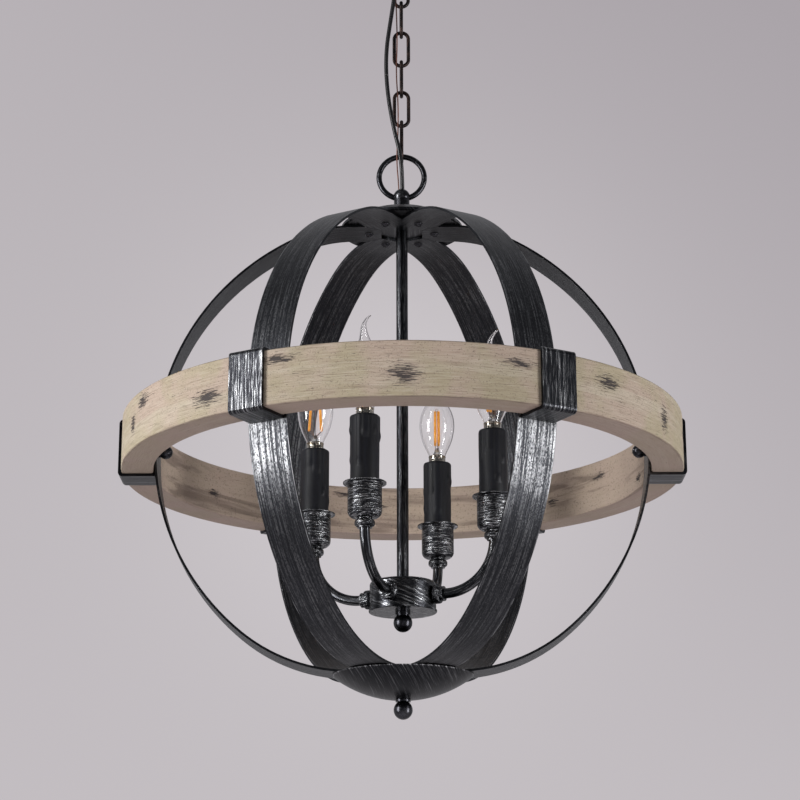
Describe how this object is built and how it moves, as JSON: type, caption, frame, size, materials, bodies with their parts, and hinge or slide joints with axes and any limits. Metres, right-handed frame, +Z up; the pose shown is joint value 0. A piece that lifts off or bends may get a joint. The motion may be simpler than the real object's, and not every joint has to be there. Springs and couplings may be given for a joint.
{
  "type": "orb chandelier",
  "caption": "Globe pendant of six flat iron straps inside a washed wooden ring, with a candle cluster on a central rod, hung on a chain from a canopy.",
  "frame": {"origin": "centre of the ceiling bar's two screw holes, in the plane of the ceiling", "axes": "+Z up into the ceiling; the lamp hangs towards -Z; -Y faces the viewer, and +X is the viewer's right"},
  "size_m": [0.5356, 0.53, 0.81],
  "materials": {
    "washed_wood": "matte",
    "brushed_black_iron": "satin",
    "black_iron": "satin",
    "hammered_black_iron": "satin",
    "candle_black": "matte",
    "phenolic": "satin",
    "clear_glass": "gloss",
    "nickel_cap": "satin",
    "filament": "satin",
    "chain_iron": "satin",
    "cable_jacket": "satin",
    "earth_wire": "satin",
    "zinc_steel": "satin"
  },
  "bodies": {
    "ceiling_fitting": {"canopy": "black_iron", "canopy_loop": "black_iron", "nipple": "black_iron", "lock_nut": "black_iron", "ceiling_bar": "zinc_steel"},
    "chain_6": {"link_6": "chain_iron"},
    "chain_5": {"link_5": "chain_iron"},
    "chain_4": {"link_4": "chain_iron"},
    "chain_3": {"link_3": "chain_iron"},
    "chain_2": {"link_2": "chain_iron"},
    "chain_1": {"link_1": "chain_iron"},
    "lamp": {"arm_1": "black_iron", "arm_2": "black_iron", "arm_3": "black_iron", "arm_4": "black_iron", "arm_collars": "black_iron", "bottom_bowl": "black_iron", "bottom_finial": "black_iron", "bottom_nut": "black_iron", "bottom_plate": "black_iron", "bottom_screws": "black_iron", "candle_sleeves": "candle_black", "clamp_bolts": "black_iron", "cup_necks": "black_iron", "fixture_loop": "black_iron", "ground_wire": "earth_wire", "hub_body": "black_iron", "hub_cover": "black_iron", "hub_finial": "black_iron", "hub_nut": "black_iron", "lampholders": "phenolic", "power_cable": "cable_jacket", "ring_clamps": "black_iron", "rod": "black_iron", "socket_cups": "hammered_black_iron", "strap_1": "brushed_black_iron", "strap_2": "brushed_black_iron", "strap_3": "brushed_black_iron", "strap_4": "brushed_black_iron", "strap_5": "brushed_black_iron", "strap_6": "brushed_black_iron", "top_cap": "black_iron", "top_nut": "black_iron", "top_plate": "black_iron", "top_screws": "black_iron", "wood_ring": "washed_wood"},
    "bulb_1": {"bulb_cap_1": "nickel_cap", "bulb_core_1": "filament", "bulb_glass_1": "clear_glass"},
    "bulb_2": {"bulb_cap_2": "nickel_cap", "bulb_core_2": "filament", "bulb_glass_2": "clear_glass"},
    "bulb_3": {"bulb_cap_3": "nickel_cap", "bulb_core_3": "filament", "bulb_glass_3": "clear_glass"},
    "bulb_4": {"bulb_cap_4": "nickel_cap", "bulb_core_4": "filament", "bulb_glass_4": "clear_glass"}
  },
  "joints": [
    {"name": "canopy_to_link_6", "type": "hinge", "parent": "ceiling_fitting", "child": "chain_6", "pos_m": [0, 0, -0.0565], "axis": [0, 1, 0], "range_deg": [-16, 16], "deforming": ["power_cable", "ground_wire"]},
    {"name": "link_6_to_link_5", "type": "hinge", "parent": "chain_6", "child": "chain_5", "pos_m": [0, 0, -0.0885], "axis": [1, 0, 0], "range_deg": [-16, 16], "deforming": ["power_cable", "ground_wire"]},
    {"name": "link_5_to_link_4", "type": "hinge", "parent": "chain_5", "child": "chain_4", "pos_m": [0, 0, -0.1212], "axis": [0, 1, 0], "range_deg": [-16, 16], "deforming": ["power_cable", "ground_wire"]},
    {"name": "link_4_to_link_3", "type": "hinge", "parent": "chain_4", "child": "chain_3", "pos_m": [0, 0, -0.1539], "axis": [1, 0, 0], "range_deg": [-16, 16], "deforming": ["power_cable", "ground_wire"]},
    {"name": "link_3_to_link_2", "type": "hinge", "parent": "chain_3", "child": "chain_2", "pos_m": [0, 0, -0.1866], "axis": [0, 1, 0], "range_deg": [-16, 16], "deforming": ["power_cable", "ground_wire"]},
    {"name": "link_2_to_link_1", "type": "hinge", "parent": "chain_2", "child": "chain_1", "pos_m": [0, 0, -0.2193], "axis": [1, 0, 0], "range_deg": [-16, 16], "deforming": ["power_cable", "ground_wire"]},
    {"name": "link_1_to_loop", "type": "hinge", "parent": "chain_1", "child": "lamp", "pos_m": [0, 0, -0.2571], "axis": [0, 1, 0], "range_deg": [-16, 16], "deforming": ["power_cable", "ground_wire"]},
    {"name": "bulb_1_out", "type": "slide", "parent": "lamp", "child": "bulb_1", "axis": [0, 0, 1], "range_m": [0, 0.032]},
    {"name": "bulb_2_out", "type": "slide", "parent": "lamp", "child": "bulb_2", "axis": [0, 0, 1], "range_m": [0, 0.032]},
    {"name": "bulb_3_out", "type": "slide", "parent": "lamp", "child": "bulb_3", "axis": [0, 0, 1], "range_m": [0, 0.032]},
    {"name": "bulb_4_out", "type": "slide", "parent": "lamp", "child": "bulb_4", "axis": [0, 0, 1], "range_m": [0, 0.032]}
  ]
}
